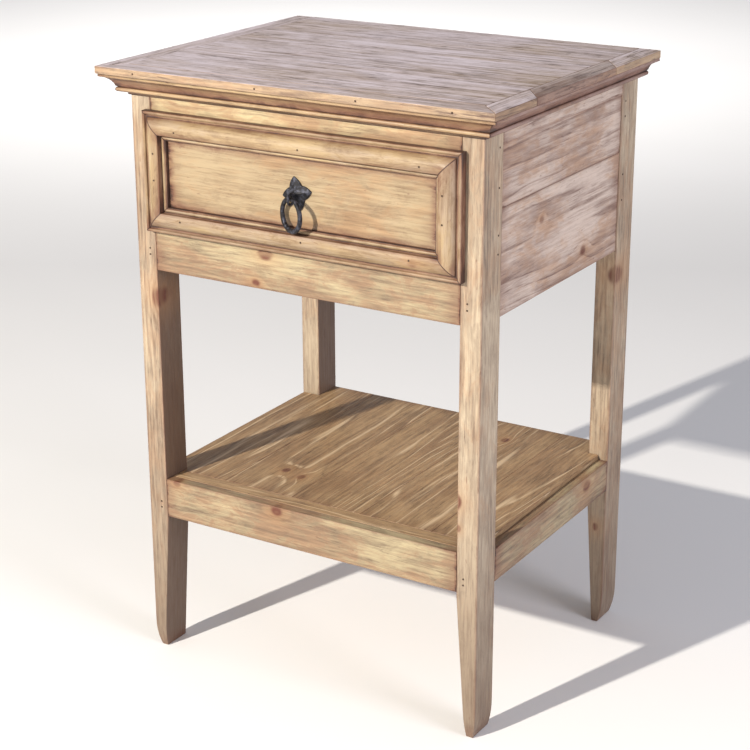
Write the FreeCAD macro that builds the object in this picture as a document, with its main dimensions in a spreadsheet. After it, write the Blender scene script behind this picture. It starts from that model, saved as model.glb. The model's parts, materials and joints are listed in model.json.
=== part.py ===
import FreeCAD, Part

# A rustic pine side table with one drawer over a low shelf. Millimetres, +Z up.
# The origin is on the floor under the middle of the table top. The front faces -Y.

import math
import os
import re

import Sketcher

# Each driving size: the name it has in formulas, its value, and what it measures.
SIZES = [
    ("table_width", 510.4, "over the top's edges, left to right"),
    ("table_depth", 414.2, "over the top's edges, front to back"),
    ("table_height", 737.0, "floor to the top's surface"),
    ("side_overhang", 27.1, "top beyond the outer faces of the legs"),
    ("front_overhang", 29.8, "top beyond the front faces of the legs"),
    ("plank_thickness", 18.0, "planks of the top"),
    ("edge_thickness", 9.1, "strips that frame the top"),
    ("top_seam_front", -68.1, "Y of the first seam between the top's planks"),
    ("top_seam_middle", 44.9, "Y of the second seam"),
    ("top_seam_rear", 108.9, "Y of the third seam"),
    ("scarf_front", -96.6, "Y of the right edge strip's front scarf joint"),
    ("scarf_rear", 99.9, "Y of its rear scarf joint"),
    ("scarf_slant", 18.5, "half the length of a scarf joint along Y"),
    ("crown_height", 25.6, "cove moulding under the edge strips"),
    ("crown_reach", 26.0, "cove moulding out from the case"),
    ("crown_toe_reach", 2.2, "lowest fillet out from the case"),
    ("crown_toe_height", 4.0, "lowest fillet"),
    ("crown_bead_radius", 2.7, "bead above the lowest fillet"),
    ("crown_bead_reach", 12.9, "bead out from the case"),
    ("bead_chord", 1.98, "chord of each bead, over its radius"),
    ("crown_fillet", 3.6, "square fillet above the cove"),
    ("crown_cove_radius", 17.0, "hollow of the cove"),
    ("leg_width", 26.6, "leg, left to right"),
    ("leg_depth", 42.3, "leg, front to back"),
    ("foot_width", 14.0, "leg at the floor"),
    ("taper_height", 178.0, "where the taper of the leg starts"),
    ("rail_thickness", 20.0, "front rails above and below the drawer"),
    ("frieze_bottom", 682.0, "underside of the rail above the drawer"),
    ("drawer_rail_top", 552.0, "upper face of the rail below the drawer"),
    ("drawer_rail_bottom", 497.6, "underside of the rail below the drawer"),
    ("case_bottom", 499.1, "underside of the side and back boards"),
    ("side_seam", 620.0, "seam between the two boards of a side"),
    ("side_top", 688.9, "upper edge of the side boards"),
    ("side_thickness", 18.0, "side boards"),
    ("side_recess", 1.5, "side boards behind the legs' outer faces"),
    ("strip_recess", 0.4, "strips above the side boards behind those faces"),
    ("back_thickness", 12.0, "back board"),
    ("back_recess", 3.0, "back board in front of the legs' rear faces"),
    ("runner_height", 12.0, "strip under each side of the drawer"),
    ("runner_inner", 183.0, "X of the inner edge of a runner or kicker"),
    ("guide_height", 20.0, "strip beside the drawer"),
    ("guide_clearance", 2.0, "between the drawer and a guide"),
    ("kicker_clearance", 4.0, "between the drawer and a kicker"),
    ("kicker_height", 18.0, "strip over each side of the drawer"),
    ("shelf_top", 232.2, "upper face of the shelf"),
    ("shelf_thickness", 12.0, "boards of the shelf"),
    ("shelf_rail_thickness", 14.0, "front and rear rails of the shelf"),
    ("shelf_side_thickness", 12.9, "side rails of the shelf"),
    ("shelf_rail_bottom", 183.2, "underside of the front rail"),
    ("shelf_side_bottom", 185.2, "underside of the side rails"),
    ("shelf_step", 6.0, "shelf above the right side rail"),
    ("shelf_strip_depth", 20.3, "strip across the front of the shelf"),
    ("shelf_rear_gap", 1.7, "shelf in front of the legs' rear faces"),
    ("shelf_left_edge", -226.4, "X of the left edge of the shelf"),
    ("shelf_seam_1", -138.0, "X of the seam between the first two shelf boards"),
    ("shelf_seam_2", -41.5, "X of the seam on the right of the second board"),
    ("shelf_seam_3", 54.5, "X of the seam on the right of the third board"),
    ("shelf_seam_4", 150.0, "X of the seam on the right of the fourth board"),
    ("cleat_height", 18.0, "battens under the shelf"),
    ("cleat_width", 18.0, "right batten under the shelf"),
    ("cleat_depth", 25.3, "front batten under the shelf"),
    ("notch_clearance", 0.3, "shelf round the legs"),
    ("front_width", 414.2, "drawer front over its mouldings, left to right"),
    ("front_height", 141.3, "drawer front over its mouldings"),
    ("front_centre", 616.95, "height of the middle of the drawer front"),
    ("front_gap", 0.4, "drawer front in front of the legs' faces"),
    ("panel_thickness", 3.6, "flat panel inside the mouldings"),
    ("frame_width", 31.5, "drawer moulding, inner to outer edge"),
    ("frame_edge", 7.6, "flank of the moulding below its beads"),
    ("frame_bead_radius", 2.1, "outer and inner beads"),
    ("frame_groove_inner", 24.6, "inner side of the groove beside the outer bead"),
    ("frame_groove", 7.0, "height of that groove"),
    ("frame_swell_radius", 13.0, "large convex part of the moulding"),
    ("frame_crest", 12.25, "inner edge to the crest of the convex part"),
    ("frame_crest_top", 15.94, "height of that crest"),
    ("frame_bead_end", 5.1, "inner edge to the far side of the inner bead"),
    ("frame_step", 6.3, "where the convex part drops to the inner bead"),
    ("frame_step_top", 14.5, "height of the convex part at that drop"),
    ("frame_step_foot", 8.6, "height at the foot of that drop"),
    ("box_clearance", 2.3, "drawer box beside the legs"),
    ("box_bottom", 552.3, "underside of the drawer box"),
    ("box_front_top", 680.5, "upper edge of the board behind the drawer front"),
    ("box_side_top", 672.0, "upper edge of the drawer's sides"),
    ("box_front_thickness", 16.0, "board behind the drawer front"),
    ("box_thickness", 12.0, "sides and back of the drawer"),
    ("box_depth", 345.0, "drawer box, front to back"),
    ("bottom_height", 8.0, "bottom of the drawer above the box's lower edge"),
    ("bottom_thickness", 6.0, "bottom of the drawer"),
    ("bottom_groove", 4.0, "depth of the grooves that hold the bottom"),
    ("plate_height", 616.5, "middle of the pull's back plate"),
    ("plate_tip", 19.5, "middle to each of the plate's four points"),
    ("plate_notch", 11.2, "middle to each notch between the points"),
    ("plate_turn", 12.0, "degrees that the plate is turned on the panel"),
    ("plate_thickness", 4.5, "plate at its middle"),
    ("plate_crown_scale", 0.24, "raised middle of the plate beside its outline"),
    ("eye_reach", 17.2, "eye and ring out from the legs' faces"),
    ("eye_height", 613.0, "middle of the eye"),
    ("eye_radius", 5.9, "eye, to the middle of its wire"),
    ("eye_wire", 1.6, "radius of the eye's wire"),
    ("shank_radius", 2.0, "shank of the eye"),
    ("shank_hole", 2.2, "holes for that shank"),
    ("drill_slack", 1.0, "drill beyond each face of a piece that it goes through"),
    ("cut_slack", 1.0, "mitre cuts beyond the edges of a moulding"),
    ("clench_length", 26.0, "prongs bent over inside the drawer"),
    ("clench_thickness", 1.6, "those prongs"),
    ("ring_radius", 18.0, "ring, to the middle of its bar"),
    ("ring_bar", 2.9, "radius of the ring's bar"),
    ("ring_turn", 24.0, "degrees that the ring hangs turned to the front"),
    ("nail_radius", 1.3, "nail heads"),
    ("nail_head", 0.4, "nail heads proud of the wood"),
]

doc = FreeCAD.newDocument("side_table")
sheet = doc.addObject("Spreadsheet::Sheet", "Sizes")
for row, (alias, number, meaning) in enumerate(SIZES, start=1):
    sheet.set(f"A{row}", alias)
    sheet.set(f"B{row}", str(number))
    sheet.set(f"C{row}", meaning)
    sheet.setAlias(f"B{row}", alias)
doc.recompute()

# Places that several pieces share, as formulas of the sizes above.
FRAME_X = "(table_width / 2 - side_overhang)"
FRONT_Y = "(front_overhang - table_depth / 2)"
REAR_Y = "(table_depth / 2)"
INNER_X = f"({FRAME_X} - leg_width)"
FRONT_LEG_REAR = f"({FRONT_Y} + leg_depth)"
REAR_LEG_FRONT = f"({REAR_Y} - leg_depth)"
CASE_TOP = "(table_height - plank_thickness)"
SIDE_INNER_X = f"({FRAME_X} - side_recess - side_thickness)"
OVERLAY_Y = f"({FRONT_Y} - front_gap)"
BOX_X = f"({INNER_X} - box_clearance)"
EYE_Y = f"({FRONT_Y} - eye_reach)"
SHELF_UNDER = "(shelf_top - shelf_thickness)"
PANEL_X = "(front_width / 2 - frame_width)"
PANEL_Z = "(front_height / 2 - frame_width)"

ALIAS = re.compile(r"\b(" + "|".join(name for name, number, meaning in SIZES) + r")\b")
parts = []


def bound(formula):
    """Return a formula as another object reads it, with the sheet's name before each size."""
    return ALIAS.sub(lambda match: "Sizes." + match.group(0), str(formula))


def size(formula):
    """Return the number that a formula of the sizes gives."""
    return float(sheet.evalExpression(str(formula)))


def bind(item, **formulas):
    """Bind properties of an object to formulas of the sizes."""
    for name, formula in formulas.items():
        item.setExpression(name, bound(formula))


def place(item, position, rotation=None):
    """Turn an object about its own origin, then bind that origin's place."""
    item.Placement = FreeCAD.Placement(FreeCAD.Vector(), rotation or FreeCAD.Rotation())
    for axis, formula in zip("xyz", position):
        item.setExpression(f"Placement.Base.{axis}", bound(formula))
    return item


def keep(item, label):
    """Name a finished sub-part and list it for export."""
    item.Label = label
    parts.append(item)
    return item


def box(name, low, high):
    """Make a box between two corners."""
    item = doc.addObject("Part::Box", name)
    length, width, height = (f"{end} - ({start})" for start, end in zip(low, high))
    bind(item, Length=length, Width=width, Height=height)
    return place(item, low)


def board(label, low, high):
    """Make a plain board as a finished sub-part."""
    return keep(box(label, low, high), label)


def mirrored(low, high):
    """Return a box's corners on the other side of the table."""
    return (f"-({high[0]})", low[1], low[2]), (f"-({low[0]})", high[1], high[2])


def both_sides(label, low, high):
    """Make a board on the right of the table and its mirror image on the left."""
    board(f"{label}_right", low, high)
    board(f"{label}_left", *mirrored(low, high))


def drilled(item, label, position, length):
    """Drill the hole for the pull's shank, along Y, through a piece."""
    drill = doc.addObject("Part::Cylinder", f"{label}_drill")
    bind(drill, Radius="shank_hole", Height=length)
    place(drill, position, FreeCAD.Rotation(FreeCAD.Vector(1, 0, 0), -90))
    cut = doc.addObject("Part::Cut", f"{label}_drilled")
    cut.Base = item
    cut.Tool = drill
    return keep(cut, label)


def new_body(name):
    """Start a body."""
    return doc.addObject("PartDesign::Body", name)


def new_sketch(body, role, name):
    """Start a sketch on one of a body's own origin planes."""
    sketch = body.newObject("Sketcher::SketchObject", name)
    plane = next(item for item in body.Origin.OriginFeatures if item.Role == role)
    sketch.AttachmentSupport = (plane, [""])
    sketch.MapMode = "FlatFace"
    return sketch


def arc_between(start, end, radius):
    """Return the short arc between two points, anticlockwise when the radius is positive."""
    chord = end - start
    middle = (start + end) / 2
    reach = math.sqrt(max(radius**2 - (chord.Length / 2) ** 2, 0.0))
    normal = FreeCAD.Vector(-chord.y, chord.x, 0).normalize()
    centre = middle + normal * math.copysign(reach, radius)
    first, last = (start, end) if radius > 0 else (end, start)
    angles = [math.atan2(point.y - centre.y, point.x - centre.x) for point in (first, last)]
    circle = Part.Circle(centre, FreeCAD.Vector(0, 0, 1), abs(radius))
    return Part.ArcOfCircle(circle, *angles)


def outline(sketch, corners, arcs=None):
    """Draw a closed outline through corners, which are pairs of formulas.

    arcs gives, for the corner where an arc starts, its radius as a formula,
    and 1 for an anticlockwise arc or -1 for a clockwise one.
    """
    arcs = arcs or {}
    points = [FreeCAD.Vector(size(x), size(y), 0) for x, y in corners]
    starts, ends = [], []
    for index, start in enumerate(points):
        end = points[(index + 1) % len(points)]
        if index in arcs:
            radius, turn = arcs[index]
            sketch.addGeometry(arc_between(start, end, size(radius) * turn), False)
        else:
            sketch.addGeometry(Part.LineSegment(start, end), False)
        clockwise = index in arcs and arcs[index][1] < 0
        starts.append(2 if clockwise else 1)
        ends.append(1 if clockwise else 2)
    for index in range(len(points)):
        following = (index + 1) % len(points)
        join = Sketcher.Constraint("Coincident", index, ends[index], following, starts[following])
        sketch.addConstraint(join)
    for index, formulas in enumerate(corners):
        for kind, formula in zip(("DistanceX", "DistanceY"), formulas):
            distance = Sketcher.Constraint(kind, -1, 1, index, starts[index], size(formula))
            name = f"{kind}{index}"
            sketch.renameConstraint(sketch.addConstraint(distance), name)
            sketch.setExpression(f"Constraints.{name}", bound(formula))
    for index, (radius, turn) in arcs.items():
        name = f"Radius{index}"
        number = sketch.addConstraint(Sketcher.Constraint("Radius", index, size(radius)))
        sketch.renameConstraint(number, name)
        sketch.setExpression(f"Constraints.{name}", bound(radius))


def pad(body, sketch, length, symmetric=False):
    """Pad a sketch."""
    feature = body.newObject("PartDesign::Pad", f"{body.Name}_pad")
    feature.Profile = sketch
    bind(feature, Length=length)
    if symmetric:
        feature.SideType = "Symmetric"
    body.Tip = feature
    return feature


def slab(label, corners, low, thickness):
    """Make a flat sub-part from its plan, with its underside at a height."""
    body = new_body(label)
    sketch = new_sketch(body, "XY_Plane", f"{label}_plan")
    outline(sketch, corners)
    pad(body, sketch, thickness)
    return keep(place(body, ("0", "0", low)), label)


def trim_end(body, run, reach, side, square):
    """Cut one end of a moulding run, to a mitre or square."""
    name = f"{body.Name}_{'square' if square else 'mitre'}_{'left' if side < 0 else 'right'}"
    sketch = new_sketch(body, "XY_Plane", name)
    inner = f"{side} * ({run}) / 2"
    beyond = f"({reach} + cut_slack)"
    outer = f"{side} * (({run}) / 2 + {beyond})"
    corners = [(inner, "0"), (outer, f"-{beyond}"), (outer, "cut_slack"), (inner, "cut_slack")]
    if square:
        corners[0] = (inner, f"-{beyond}")
    outline(sketch, corners)
    before = body.Tip.Shape.Volume
    pocket = body.newObject("PartDesign::Pocket", f"{name}_cut")
    pocket.Profile = sketch
    pocket.Type = "ThroughAll"
    pocket.Reversed = True
    body.Tip = pocket
    doc.recompute()
    if pocket.Shape.Volume >= before:
        raise ValueError(f"{name} cuts nothing")


def moulding(label, profile, arcs, reach, run, square_sides, axes, position):
    """Make a moulding whose back edge is run long, along its own X.

    The profile is drawn in its own YZ plane, with its back at Y = 0 and its face towards -Y.
    axes are the directions of its own X, Y and Z.
    """
    body = new_body(label)
    sketch = new_sketch(body, "YZ_Plane", f"{label}_profile")
    outline(sketch, profile, arcs)
    pad(body, sketch, f"{run} + 2 * {reach}", symmetric=True)
    doc.recompute()
    for side in (-1, 1):
        trim_end(body, run, reach, side, side in square_sides)
    vectors = [FreeCAD.Vector(*axis) for axis in axes]
    return keep(place(body, position, FreeCAD.Rotation(*vectors, "XYZ")), label)


def legs():
    """Make the four legs, straight outside and tapered inside below the shelf."""
    corners = [
        ("0", "0"),
        ("foot_width", "0"),
        ("leg_width", "taper_height"),
        ("leg_width", CASE_TOP),
        ("0", CASE_TOP),
    ]
    for row, rear_face in (("front", FRONT_LEG_REAR), ("rear", REAR_Y)):
        for side, sign in (("left", 1), ("right", -1)):
            label = f"leg_{row}_{side}"
            body = new_body(label)
            sketch = new_sketch(body, "XZ_Plane", f"{label}_outline")
            outline(sketch, [(f"{sign} * {x}", z) for x, z in corners])
            pad(body, sketch, "leg_depth")
            keep(place(body, (f"{-sign} * {FRAME_X}", rear_face, "0")), label)


def table_top():
    """Make the four planks of the top."""
    seams = [FRONT_Y, "top_seam_front", "top_seam_middle", "top_seam_rear", REAR_Y]
    for number, (front, rear) in enumerate(zip(seams, seams[1:]), start=1):
        low = (f"-{FRAME_X}", front, CASE_TOP)
        board(f"top_plank_{number}", low, (FRAME_X, rear, "table_height"))


def edge_strips():
    """Make the strips that frame the top: mitred in front, and in three lengths on the right."""
    low = "table_height - edge_thickness"
    outer_x = "table_width / 2"
    outer_y = "-table_depth / 2"
    front = [(f"-{FRAME_X}", FRONT_Y), (f"-{outer_x}", outer_y), (outer_x, outer_y), (FRAME_X, FRONT_Y)]
    slab("top_edge_front", front, low, "edge_thickness")
    inner_side = [(f"-{FRAME_X}", FRONT_Y), (f"-{FRAME_X}", REAR_Y)]
    outer_side = [(f"-{outer_x}", REAR_Y), (f"-{outer_x}", outer_y)]
    slab("top_edge_left", inner_side + outer_side, low, "edge_thickness")
    ends = [(FRONT_Y, outer_y)]
    for joint in ("scarf_front", "scarf_rear"):
        ends.append((f"{joint} + scarf_slant", f"{joint} - scarf_slant"))
    ends.append((REAR_Y, REAR_Y))
    names = ("front", "middle", "rear")
    for name, (near_inner, near_outer), (far_inner, far_outer) in zip(names, ends, ends[1:]):
        corners = [
            (FRAME_X, near_inner),
            (outer_x, near_outer),
            (outer_x, far_outer),
            (FRAME_X, far_inner),
        ]
        slab(f"top_edge_right_{name}", corners, low, "edge_thickness")


def crown():
    """Make the cove moulding under the edge strips, mitred at the two front corners."""
    bead_back = "(crown_bead_reach - crown_bead_radius)"
    bead_top = "(crown_toe_height + bead_chord * crown_bead_radius)"
    cove_top = "(crown_height - crown_fillet)"
    profile = [
        ("0", "0"),
        ("-crown_toe_reach", "0"),
        ("-crown_toe_reach", "crown_toe_height"),
        (f"-{bead_back}", "crown_toe_height"),
        (f"-{bead_back}", bead_top),
        (f"-({bead_back} + crown_fillet / 2)", f"{bead_top} + crown_fillet / 4"),
        ("-(crown_reach - crown_fillet / 3)", cove_top),
        ("-crown_reach", cove_top),
        ("-crown_reach", "crown_height"),
        ("0", "crown_height"),
    ]
    arcs = {3: ("crown_bead_radius", -1), 5: ("crown_cove_radius", 1)}
    low = "table_height - edge_thickness - crown_height"
    across = f"2 * {FRAME_X}"
    along = f"{REAR_Y} - {FRONT_Y}"
    middle = f"({REAR_Y} + {FRONT_Y}) / 2"
    runs = [
        ("crown_front", across, (), ((1, 0, 0), (0, 1, 0)), ("0", FRONT_Y, low)),
        ("crown_left", along, (-1,), ((0, -1, 0), (1, 0, 0)), (f"-{FRAME_X}", middle, low)),
        ("crown_right", along, (1,), ((0, 1, 0), (-1, 0, 0)), (FRAME_X, middle, low)),
    ]
    for label, run, square_sides, axes, position in runs:
        axes = (*axes, (0, 0, 1))
        moulding(label, profile, arcs, "crown_reach", run, square_sides, axes, position)


def case():
    """Make the rails, sides and back of the case that holds the drawer."""
    rail_rear = f"{FRONT_Y} + rail_thickness"
    board("frieze_rail", (f"-{INNER_X}", FRONT_Y, "frieze_bottom"), (INNER_X, rail_rear, CASE_TOP))
    low = (f"-{INNER_X}", FRONT_Y, "drawer_rail_bottom")
    board("drawer_rail", low, (INNER_X, rail_rear, "drawer_rail_top"))
    layers = [
        ("side_board_lower", "side_recess", "case_bottom", "side_seam"),
        ("side_board_upper", "side_recess", "side_seam", "side_top"),
        ("side_strip", "strip_recess", "side_top", CASE_TOP),
    ]
    for label, recess, bottom, top in layers:
        low = (SIDE_INNER_X, FRONT_LEG_REAR, bottom)
        both_sides(label, low, (f"{FRAME_X} - {recess}", REAR_LEG_FRONT, top))
    back_rear = f"{REAR_Y} - back_recess"
    low = (f"-{INNER_X}", f"{back_rear} - back_thickness", "case_bottom")
    board("back_board", low, (INNER_X, back_rear, CASE_TOP))


def drawer_supports():
    """Make the strips that carry, guide and hold down the drawer."""
    bottom = "drawer_rail_top - runner_height"
    low = ("runner_inner", FRONT_LEG_REAR, bottom)
    both_sides("drawer_runner", low, (SIDE_INNER_X, REAR_LEG_FRONT, "drawer_rail_top"))
    low = (f"{BOX_X} + guide_clearance", FRONT_LEG_REAR, "drawer_rail_top")
    high = (SIDE_INNER_X, REAR_LEG_FRONT, "drawer_rail_top + guide_height")
    both_sides("drawer_guide", low, high)
    bottom = "box_side_top + kicker_clearance"
    low = ("runner_inner", FRONT_LEG_REAR, bottom)
    both_sides("drawer_kicker", low, (SIDE_INNER_X, REAR_LEG_FRONT, f"{bottom} + kicker_height"))


def shelf():
    """Make the rails, battens and boards of the low shelf."""
    rail_rear = f"{FRONT_Y} + shelf_rail_thickness"
    side_x = f"({FRAME_X} - shelf_side_thickness)"
    low = (f"-{INNER_X}", FRONT_Y, "shelf_rail_bottom")
    board("shelf_rail_front", low, (INNER_X, rail_rear, "shelf_top"))
    low = (f"-{INNER_X}", f"{REAR_Y} - shelf_rail_thickness", "shelf_side_bottom")
    board("shelf_rail_rear", low, (INNER_X, REAR_Y, SHELF_UNDER))
    low = (f"-{FRAME_X}", FRONT_LEG_REAR, "shelf_side_bottom")
    board("shelf_rail_left", low, (f"-{side_x}", REAR_LEG_FRONT, SHELF_UNDER))
    low = (side_x, FRONT_LEG_REAR, "shelf_side_bottom")
    board("shelf_rail_right", low, (FRAME_X, REAR_LEG_FRONT, "shelf_top - shelf_step"))
    bottom = f"{SHELF_UNDER} - cleat_height"
    low = (f"-{INNER_X}", rail_rear, bottom)
    board("shelf_cleat_front", low, (INNER_X, f"{rail_rear} + cleat_depth", SHELF_UNDER))
    low = (f"{side_x} - cleat_width", FRONT_LEG_REAR, bottom)
    board("shelf_cleat_right", low, (side_x, REAR_LEG_FRONT, SHELF_UNDER))
    strip_rear = f"({rail_rear} + shelf_strip_depth)"
    strip_x = f"({INNER_X} - notch_clearance)"
    board("shelf_front_strip", (f"-{strip_x}", rail_rear, SHELF_UNDER), (strip_x, strip_rear, "shelf_top"))
    shelf_boards(strip_rear, strip_x, side_x)


def shelf_boards(front, notch_x, right_edge):
    """Make the five boards of the shelf, the outer two notched round the legs."""
    rear = f"({REAR_Y} - shelf_rear_gap)"
    seams = ["shelf_left_edge"] + [f"shelf_seam_{number}" for number in range(1, 5)] + [right_edge]
    notch_front = f"{FRONT_LEG_REAR} + notch_clearance"
    notch_rear = f"{REAR_LEG_FRONT} - notch_clearance"
    for number, (left, right) in enumerate(zip(seams, seams[1:]), start=1):
        label = f"shelf_board_{number}"
        if left != seams[0] and right != right_edge:
            board(label, (left, front, SHELF_UNDER), (right, rear, "shelf_top"))
            continue
        inner, outer, step = (right, left, f"-{notch_x}") if left == seams[0] else (left, right, notch_x)
        corners = [
            (inner, front),
            (step, front),
            (step, notch_front),
            (outer, notch_front),
            (outer, notch_rear),
            (step, notch_rear),
            (step, rear),
            (inner, rear),
        ]
        slab(label, corners, SHELF_UNDER, "shelf_thickness")


def drawer_box():
    """Make the box of the drawer, with its bottom held in grooves."""
    back_y = f"({OVERLAY_Y} + box_depth)"
    inner_y = f"({OVERLAY_Y} + box_front_thickness)"
    groove_low = "(box_bottom + bottom_height)"
    groove_high = f"({groove_low} + bottom_thickness)"
    front = box("box_front_blank", (f"-{BOX_X}", OVERLAY_Y, "box_bottom"), (BOX_X, inner_y, "box_front_top"))
    groove_x = f"({BOX_X} - box_thickness + bottom_groove)"
    front_groove = f"({inner_y} - bottom_groove)"
    groove_start = (f"-{groove_x}", front_groove, groove_low)
    tool = box("box_front_groove", groove_start, (groove_x, inner_y, groove_high))
    cut = doc.addObject("Part::Cut", "box_front_grooved")
    cut.Base = front
    cut.Tool = tool
    start = ("0", f"{OVERLAY_Y} - drill_slack", "eye_height")
    drilled(cut, "drawer_box_front", start, "box_front_thickness + 2 * drill_slack")
    side_profile = [
        ("0", "0"),
        ("box_thickness", "0"),
        ("box_thickness", "box_side_top - box_bottom"),
        ("0", "box_side_top - box_bottom"),
        ("0", "bottom_height + bottom_thickness"),
        ("bottom_groove", "bottom_height + bottom_thickness"),
        ("bottom_groove", "bottom_height"),
        ("0", "bottom_height"),
    ]
    for side, sign in (("left", -1), ("right", 1)):
        label = f"drawer_side_{side}"
        body = new_body(label)
        sketch = new_sketch(body, "XZ_Plane", f"{label}_profile")
        outline(sketch, [(f"{sign} * ({x})", z) for x, z in side_profile])
        pad(body, sketch, "box_depth - box_front_thickness")
        keep(place(body, (f"{sign} * ({BOX_X} - box_thickness)", back_y, "box_bottom")), label)
    inner_x = f"({BOX_X} - box_thickness)"
    low = (f"-{inner_x}", f"{back_y} - box_thickness", groove_high)
    board("drawer_back", low, (inner_x, back_y, "box_side_top"))
    board("drawer_bottom", (f"-{groove_x}", front_groove, groove_low), (groove_x, back_y, groove_high))


def drawer_front():
    """Make the flat panel and the four mitred mouldings of the drawer front."""
    low = (f"-{PANEL_X}", f"{OVERLAY_Y} - panel_thickness", f"front_centre - {PANEL_Z}")
    panel = box("panel_blank", low, (PANEL_X, OVERLAY_Y, f"front_centre + {PANEL_Z}"))
    start = ("0", f"{OVERLAY_Y} - panel_thickness - drill_slack", "eye_height")
    drilled(panel, "drawer_panel", start, "panel_thickness + 2 * drill_slack")
    bead = "bead_chord * frame_bead_radius"
    profile = [
        ("0", "0"),
        ("0", "frame_edge"),
        (f"-(frame_bead_end - {bead})", "frame_edge"),
        ("-frame_bead_end", "frame_edge"),
        ("-frame_step", "frame_step_foot"),
        ("-frame_step", "frame_step_top"),
        ("-frame_groove_inner", "frame_groove"),
        (f"-(frame_width - {bead})", "frame_groove"),
        (f"-(frame_width - {bead})", "frame_edge"),
        ("-frame_width", "frame_edge"),
        ("-frame_width", "0"),
    ]
    arcs = {
        2: ("frame_bead_radius", 1),
        5: ("frame_swell_radius", 1),
        8: ("frame_bead_radius", 1),
    }
    sides = [
        ("top", (-1, 0, 0), (0, 0, -1), 2),
        ("left", (0, 0, -1), (1, 0, 0), 0),
        ("bottom", (1, 0, 0), (0, 0, 1), 2),
        ("right", (0, 0, 1), (-1, 0, 0), 0),
    ]
    for name, along, inward, fixed in sides:
        run = f"2 * {PANEL_Z if fixed == 0 else PANEL_X}"
        x = f"{-inward[0]} * {PANEL_X}"
        z = f"front_centre + {-inward[2]} * {PANEL_Z}"
        axes = (along, inward, (0, -1, 0))
        position = (x, OVERLAY_Y, z)
        moulding(f"drawer_moulding_{name}", profile, arcs, "frame_width", run, (), axes, position)


def star(sketch, scale):
    """Draw the plate's four points and the notches between them."""
    corners = []
    for number in range(8):
        radius = "plate_tip" if number % 2 == 0 else "plate_notch"
        angle = f"plate_turn * 1 deg + {45 * number} deg"
        corners.append((f"{scale} * {radius} * cos({angle})", f"{scale} * {radius} * sin({angle})"))
    outline(sketch, corners)


def pull():
    """Make the pull's back plate, its eye and its ring."""
    body = new_body("plate_blank")
    base = new_sketch(body, "XY_Plane", "plate_outline")
    star(base, "1")
    crown_outline = new_sketch(body, "XY_Plane", "plate_crown")
    star(crown_outline, "plate_crown_scale")
    crown_outline.setExpression("AttachmentOffset.Base.z", bound("plate_thickness"))
    loft = body.newObject("PartDesign::AdditiveLoft", "plate_loft")
    loft.Profile = base
    loft.Sections = [crown_outline]
    loft.Ruled = True
    body.Tip = loft
    forward = FreeCAD.Rotation(FreeCAD.Vector(1, 0, 0), 90)
    place(body, ("0", f"{OVERLAY_Y} - panel_thickness", "plate_height"), forward)
    start = ("0", f"{OVERLAY_Y} - panel_thickness - plate_thickness - drill_slack", "eye_height")
    drilled(body, "pull_plate", start, "plate_thickness + 2 * drill_slack")
    pull_eye()
    pull_ring()


def pull_eye():
    """Make the split pin that carries the ring, with its prongs bent over inside the drawer."""
    loop = doc.addObject("Part::Torus", "eye_loop")
    bind(loop, Radius1="eye_radius", Radius2="eye_wire")
    place(loop, ("0", EYE_Y, "eye_height"), FreeCAD.Rotation(FreeCAD.Vector(0, 1, 0), 90))
    inner_y = f"({OVERLAY_Y} + box_front_thickness)"
    shank_start = f"({EYE_Y} + eye_radius)"
    shank = doc.addObject("Part::Cylinder", "eye_shank")
    bind(shank, Radius="shank_radius", Height=f"{inner_y} + clench_thickness - {shank_start}")
    place(shank, ("0", shank_start, "eye_height"), FreeCAD.Rotation(FreeCAD.Vector(1, 0, 0), -90))
    low = ("-shank_radius", inner_y, "eye_height - clench_length / 2")
    high = ("shank_radius", f"{inner_y} + clench_thickness", "eye_height + clench_length / 2")
    fuse = doc.addObject("Part::MultiFuse", "eye_fused")
    fuse.Shapes = [loop, shank, box("eye_prongs", low, high)]
    keep(fuse, "pull_eye")


def pull_ring():
    """Make the ring, hanging from the eye and turned a little."""
    ring = doc.addObject("Part::Torus", "ring_torus")
    bind(ring, Radius1="ring_radius", Radius2="ring_bar")
    turn = math.radians(size("ring_turn"))
    normal = FreeCAD.Vector(math.sin(turn), math.cos(turn), 0)
    rotation = FreeCAD.Rotation(FreeCAD.Vector(0, 0, 1), normal)
    keep(place(ring, ("0", EYE_Y, "eye_height - ring_radius"), rotation), "pull_ring")


def nails(label, heads):
    """Make a group of nail heads, each a place on a face and the way that face looks."""
    cylinders = []
    for number, (position, outward) in enumerate(heads, start=1):
        head = doc.addObject("Part::Cylinder", f"{label}_{number}")
        bind(head, Radius="nail_radius", Height="nail_head")
        direction = FreeCAD.Vector(*outward)
        place(head, position, FreeCAD.Rotation(FreeCAD.Vector(0, 0, 1), direction))
        cylinders.append(head)
    group = doc.addObject("Part::Compound", f"{label}_group")
    group.Links = cylinders
    return keep(group, label)


def case_nails():
    """Make the nail heads that show on the top's front edge and on the legs."""
    forward = (0, -1, 0)
    strip_middle = "table_height - edge_thickness / 2"
    across = (-200.8, -35.9, 91.2, 206.0)
    nails("edge_nails", [((str(x), "-table_depth / 2", strip_middle), forward) for x in across])
    leg_middle = f"({FRAME_X} - 2 * leg_width / 3)"
    heights = (194.0, 201.5, 515.8, 523.2)
    heads = [((f"{sign} * {leg_middle}", FRONT_Y, str(z)), forward) for sign in (-1, 1) for z in heights]
    nails("leg_nails_front", heads)
    columns = [
        (f"{FRONT_LEG_REAR} - leg_depth / 5", (571.7, 592.5, 643.9, 686.9)),
        (f"{REAR_LEG_FRONT} + leg_depth / 5", (560.6, 592.0, 662.0, 680.0)),
    ]
    heads = [
        ((f"{sign} * {FRAME_X}", y, str(z)), (sign, 0, 0))
        for sign in (-1, 1)
        for y, heights in columns
        for z in heights
    ]
    nails("leg_nails_side", heads)


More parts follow.
